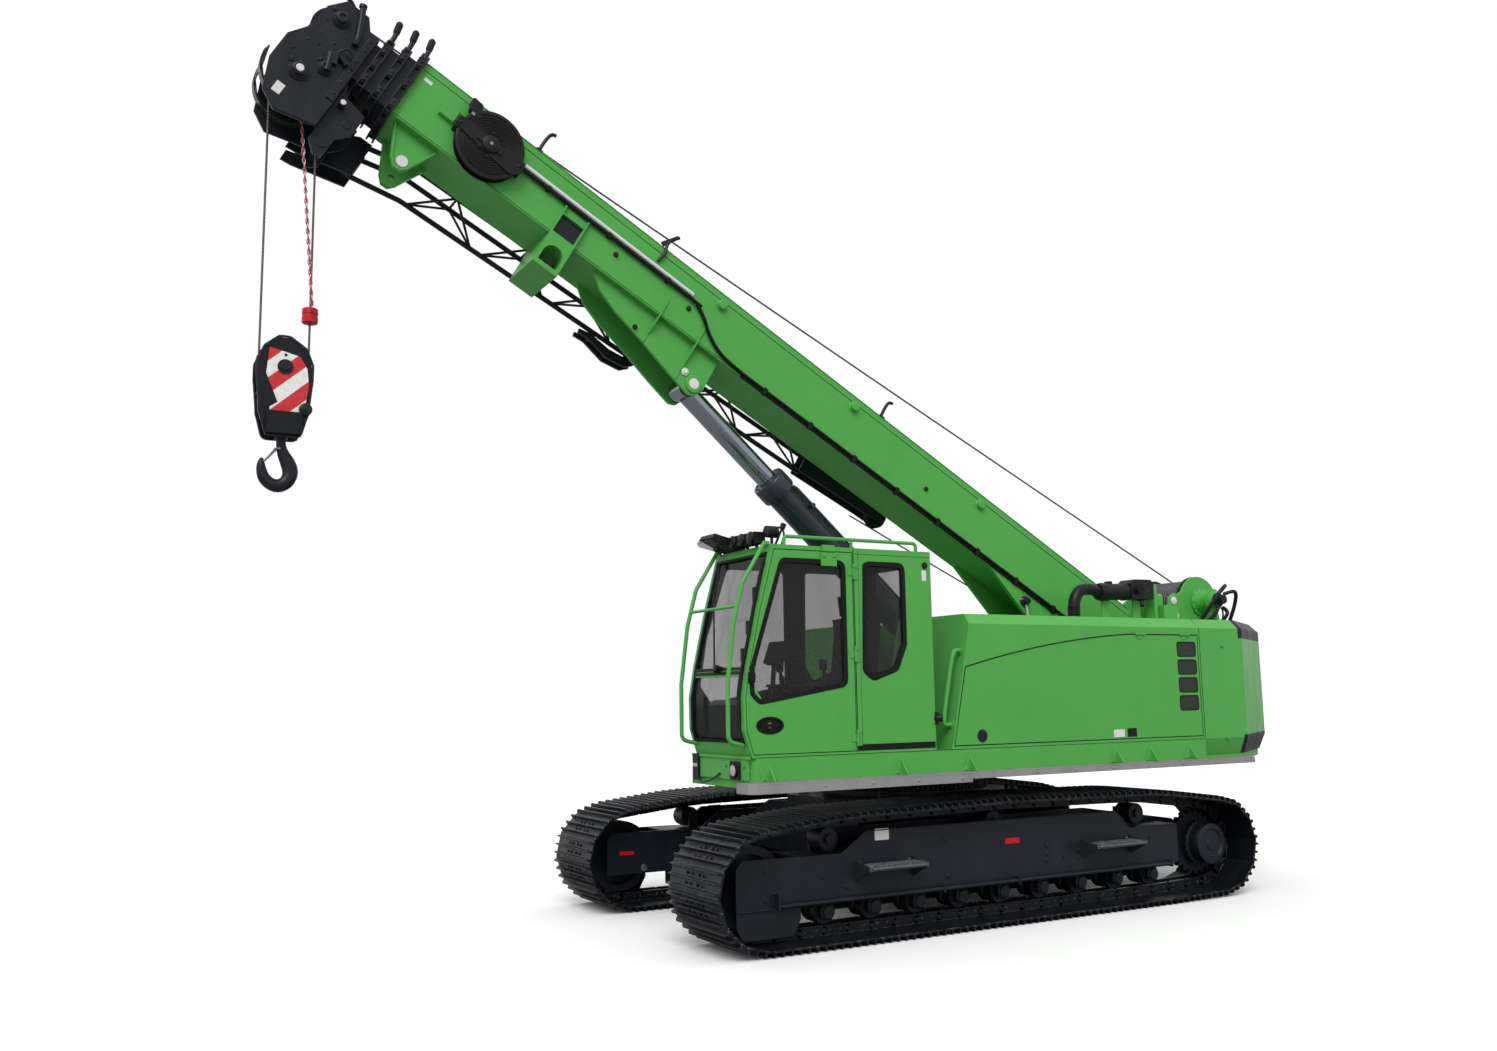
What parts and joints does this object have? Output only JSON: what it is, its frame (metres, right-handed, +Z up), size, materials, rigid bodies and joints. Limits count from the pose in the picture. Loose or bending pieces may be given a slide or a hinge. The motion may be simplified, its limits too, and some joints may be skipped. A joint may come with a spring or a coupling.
{
  "type": "crawler crane",
  "caption": "Crawler crane with a telescopic luffing boom, cab, hooded engine bays, counterweight, winch, stowed lattice jib and a hook block on steel tracks.",
  "frame": {"origin": "on the ground under the slewing axis, midway along the tracks", "axes": "+X forward along the boom, +Y to the left, +Z up"},
  "size_m": [9.608, 3.07, 7.0385],
  "materials": {
    "green_paint": "satin",
    "track_steel": "satin",
    "frame_paint": "satin",
    "dark_paint": "satin",
    "step_metal": "brushed",
    "rail_metal": "satin",
    "cab_glass": "clear",
    "seat_trim": "woven",
    "black_plastic": "matte",
    "cylinder_paint": "satin",
    "rod_chrome": "polished",
    "rope_wire": "wire",
    "red_paint": "satin",
    "engine_paint": "cast"
  },
  "bodies": {
    "undercarriage": {"carbody": "frame_paint", "slew_ring": "frame_paint", "track_frame_left": "frame_paint", "track_frame_right": "frame_paint", "track_left": "track_steel", "track_right": "track_steel", "track_wheels": "frame_paint", "track_rollers": "frame_paint", "frame_steps": "step_metal"},
    "upper": {"deck": "green_paint", "catwalks": "rail_metal", "cab_shell": "green_paint", "cab_windows": "cab_glass", "cab_interior": "seat_trim", "cab_guard": "green_paint", "work_lamps": "black_plastic", "hood_left": "green_paint", "hood_right": "green_paint", "engine_block": "engine_paint", "counterweight": "green_paint", "corner_caps": "black_plastic", "winch_frame": "green_paint", "air_cleaner": "black_plastic"},
    "cab_door": {"cab_door": "green_paint", "door_glass": "cab_glass"},
    "flap_left": {"flap_left": "green_paint"},
    "flap_right": {"flap_right": "green_paint"},
    "winch_drum": {"winch_drum": "dark_paint"},
    "boom_base": {"boom_base_section": "green_paint", "cable_reel": "dark_paint", "cable_run": "black_plastic", "jib": "dark_paint", "jib_bracket": "dark_paint"},
    "section_2": {"boom_section_2": "dark_paint"},
    "section_3": {"boom_section_3": "dark_paint"},
    "head": {"boom_head": "dark_paint"},
    "upper_sheave": {"upper_sheave": "dark_paint"},
    "lower_sheave": {"lower_sheave": "dark_paint"},
    "lift_barrel": {"lift_barrel": "cylinder_paint"},
    "lift_rod": {"lift_rod": "rod_chrome"},
    "falls": {"rope_falls_upper": "rope_wire", "limit_weight": "red_paint"},
    "falls_lower": {"rope_falls_lower": "rope_wire"},
    "hook_block": {"hook_block": "dark_paint"},
    "hook": {"hook": "dark_paint"}
  },
  "joints": [
    {"name": "slew", "type": "hinge", "parent": "undercarriage", "child": "upper", "pos_m": [0, 0, 1.14], "axis": [0, 0, 1], "continuous": true},
    {"name": "cab_door_hinge", "type": "hinge", "parent": "upper", "child": "cab_door", "pos_m": [1.405, 1.332, 2.1], "axis": [0, 0, 1], "range_deg": [0, 110]},
    {"name": "flap_left_hinge", "type": "hinge", "parent": "upper", "child": "flap_left", "pos_m": [-1.9, 1.33, 2.295], "axis": [1, 0, 0], "range_deg": [0, 80]},
    {"name": "flap_right_hinge", "type": "hinge", "parent": "upper", "child": "flap_right", "pos_m": [-1.9, -1.33, 2.295], "axis": [-1, 0, 0], "range_deg": [0, 80]},
    {"name": "winch_spin", "type": "hinge", "parent": "upper", "child": "winch_drum", "pos_m": [-3.595, 0, 2.7], "axis": [0, 1, 0], "continuous": true},
    {"name": "luff", "type": "hinge", "parent": "upper", "child": "boom_base", "pos_m": [-1.895, 0, 1.85], "axis": [0, -1, 0], "range_deg": [-31.5, 50.5]},
    {"name": "telescope_2", "type": "slide", "parent": "boom_base", "child": "section_2", "axis": [0.8704, 0, 0.4924], "range_m": [0, 6.3]},
    {"name": "telescope_3", "type": "slide", "parent": "section_2", "child": "section_3", "axis": [0.8704, 0, 0.4924], "range_m": [0, 6.3]},
    {"name": "telescope_head", "type": "slide", "parent": "section_3", "child": "head", "axis": [0.8704, 0, 0.4924], "range_m": [0, 6.3]},
    {"name": "upper_sheave_spin", "type": "hinge", "parent": "head", "child": "upper_sheave", "pos_m": [5.11206, 0, 6.84847], "axis": [0, 1, 0], "continuous": true},
    {"name": "lower_sheave_spin", "type": "hinge", "parent": "head", "child": "lower_sheave", "pos_m": [5.40103, 0, 6.37428], "axis": [0, 1, 0], "continuous": true},
    {"name": "lift_foot", "type": "hinge", "parent": "upper", "child": "lift_barrel", "pos_m": [-1.338, 0, 1.27], "axis": [0, -1, 0], "range_deg": [-31.5, 50.5]},
    {"name": "lift_stroke", "type": "slide", "parent": "lift_barrel", "child": "lift_rod", "axis": [0.749, 0, 0.6626], "range_m": [-0.45, 0.7]},
    {"name": "falls_plumb", "type": "hinge", "parent": "head", "child": "falls", "pos_m": [5.40103, 0, 6.37428], "axis": [0, -1, 0], "range_deg": [-51, 32]},
    {"name": "falls_pay_out", "type": "slide", "parent": "falls", "child": "falls_lower", "axis": [0, 0, -1], "range_m": [-0.05, 1.5]},
    {"name": "hoist", "type": "slide", "parent": "falls", "child": "hook_block", "axis": [0, 0, -1], "range_m": [-0.06, 2.9], "deforming": ["rope_falls_upper", "rope_falls_lower"]},
    {"name": "hook_swivel", "type": "hinge", "parent": "hook_block", "child": "hook", "pos_m": [5.40103, 0, 3.7], "axis": [0, 0, 1], "continuous": true}
  ],
  "couplings": [
    {"joint": "telescope_3", "follows": "telescope_2", "ratio": 1},
    {"joint": "telescope_head", "follows": "telescope_2", "ratio": 1},
    {"joint": "lift_foot", "follows": "luff", "ratio": 0.98},
    {"joint": "lift_stroke", "follows": "luff", "m_per_rad": 0.75},
    {"joint": "falls_plumb", "follows": "luff", "ratio": -1},
    {"joint": "falls_pay_out", "follows": "hoist", "ratio": 0.5}
  ]
}
